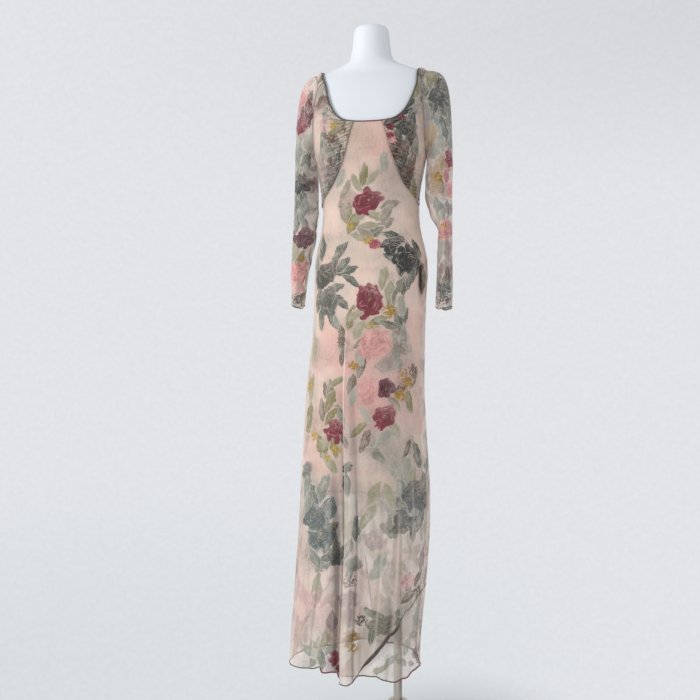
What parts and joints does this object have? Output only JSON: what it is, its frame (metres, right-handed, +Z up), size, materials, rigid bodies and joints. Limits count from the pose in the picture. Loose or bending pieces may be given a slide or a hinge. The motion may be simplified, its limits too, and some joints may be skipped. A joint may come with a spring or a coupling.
{
  "type": "long-sleeved maxi dress on a limbless dress form",
  "caption": "Long-sleeved floral chiffon maxi dress with a scooped neckline, gathered bust panels, skin-tone slip and a diagonal open hem, worn on a white dress form on a pole stand.",
  "frame": {"origin": "middle of the whole part's box, on the floor plane under the base plate", "axes": "+Z up, -Y the front of the dress, +X the wearer's left"},
  "size_m": [0.4238, 0.3072, 1.838],
  "materials": {
    "form": "smooth matt white moulded shell",
    "steel": "satin metal",
    "chiffon": "sheer floral-printed chiffon, narrow rolled hems",
    "lining": "opaque skin-tone lining",
    "binding": "narrow folded strip of the printed cloth"
  },
  "bodies": {
    "root": {"form_torso": "form", "base_plate": "steel", "pole_hub": "steel", "pole": "steel", "front_panel": "chiffon", "bust_panel_left": "chiffon", "bust_panel_right": "chiffon", "back_panel": "chiffon", "sleeve_left": "chiffon", "sleeve_right": "chiffon", "neck_binding": "binding", "slip_front": "lining", "slip_back": "lining"}
  },
  "joints": []
}
